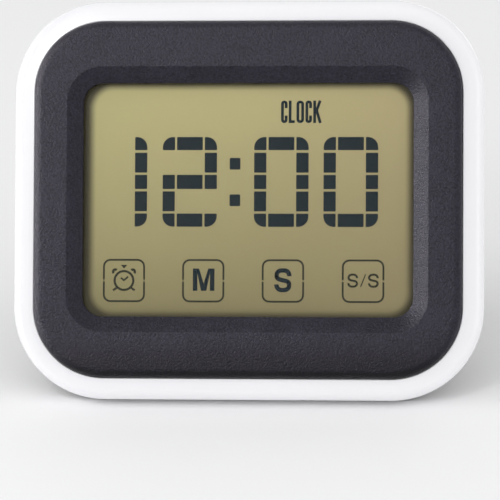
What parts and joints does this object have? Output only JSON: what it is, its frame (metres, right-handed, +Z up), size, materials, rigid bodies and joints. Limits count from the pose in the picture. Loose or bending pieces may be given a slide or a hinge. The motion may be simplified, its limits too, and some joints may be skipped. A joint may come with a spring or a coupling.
{
  "type": "digital desk clock",
  "caption": "Rounded digital desk clock and timer with a touch-key display, leaning back on a folding U-shaped stand, with a battery door in its back.",
  "frame": {"origin": "centre of the clock's footprint on the table, at table height, with the stand open", "axes": "+X to the right seen from the front, +Y from the front to the back, +Z up"},
  "size_m": [0.112, 0.0734, 0.0882],
  "materials": {
    "rim_white": "glossy moulded",
    "bezel_charcoal": "fine grain",
    "housing_charcoal": "satin",
    "stand_charcoal": "satin",
    "clear_window": "polished",
    "clear_film": "polished",
    "display_glass": "polished",
    "reflector": "satin",
    "black_tape": "matt",
    "flex_tail": "satin",
    "contact_rubber": "matt",
    "holder_white": "satin",
    "board_green": "solder mask",
    "screw_steel": "plated",
    "chip_resin": "satin",
    "can_metal": "drawn",
    "capacitor_brown": "satin",
    "cell_jacket": "shrink-film jacket",
    "contact_plating": "nickel plated",
    "buzzer_brass": "satin",
    "wire_red": "satin",
    "wire_black": "satin"
  },
  "bodies": {
    "case": {"front_frame": "rim_white", "bezel": "bezel_charcoal", "window_tape": "black_tape", "display_window": "clear_window", "touch_film": "clear_film", "touch_tail": "flex_tail", "lcd_front_glass": "display_glass", "lcd_rear_glass": "display_glass", "lcd_reflector": "reflector", "lcd_contact_strip": "contact_rubber", "lcd_holder": "holder_white", "main_board": "board_green", "board_screws": "screw_steel", "controller_chip": "chip_resin", "crystal": "can_metal", "board_capacitors": "capacitor_brown", "rear_housing": "housing_charcoal", "case_screws": "screw_steel", "upper_battery": "cell_jacket", "lower_battery": "cell_jacket", "plus_contact": "contact_plating", "minus_contact": "contact_plating", "bridge_contact": "contact_plating", "buzzer_disc": "buzzer_brass", "buzzer_wires": "wire_black", "red_wire": "wire_red", "black_wire": "wire_black"},
    "stand": {"stand": "stand_charcoal"},
    "battery_door": {"battery_door": "housing_charcoal"}
  },
  "joints": [
    {"name": "stand_hinge", "type": "hinge", "parent": "case", "child": "stand", "pos_m": [0, 0.01512, 0.04975], "axis": [-1, 0, 0], "range_deg": [0, 45.4]},
    {"name": "battery_door_hinge", "type": "hinge", "parent": "case", "child": "battery_door", "pos_m": [0, 0.0025, 0.01613], "axis": [-1, 0, 0], "range_deg": [0, 80]}
  ]
}
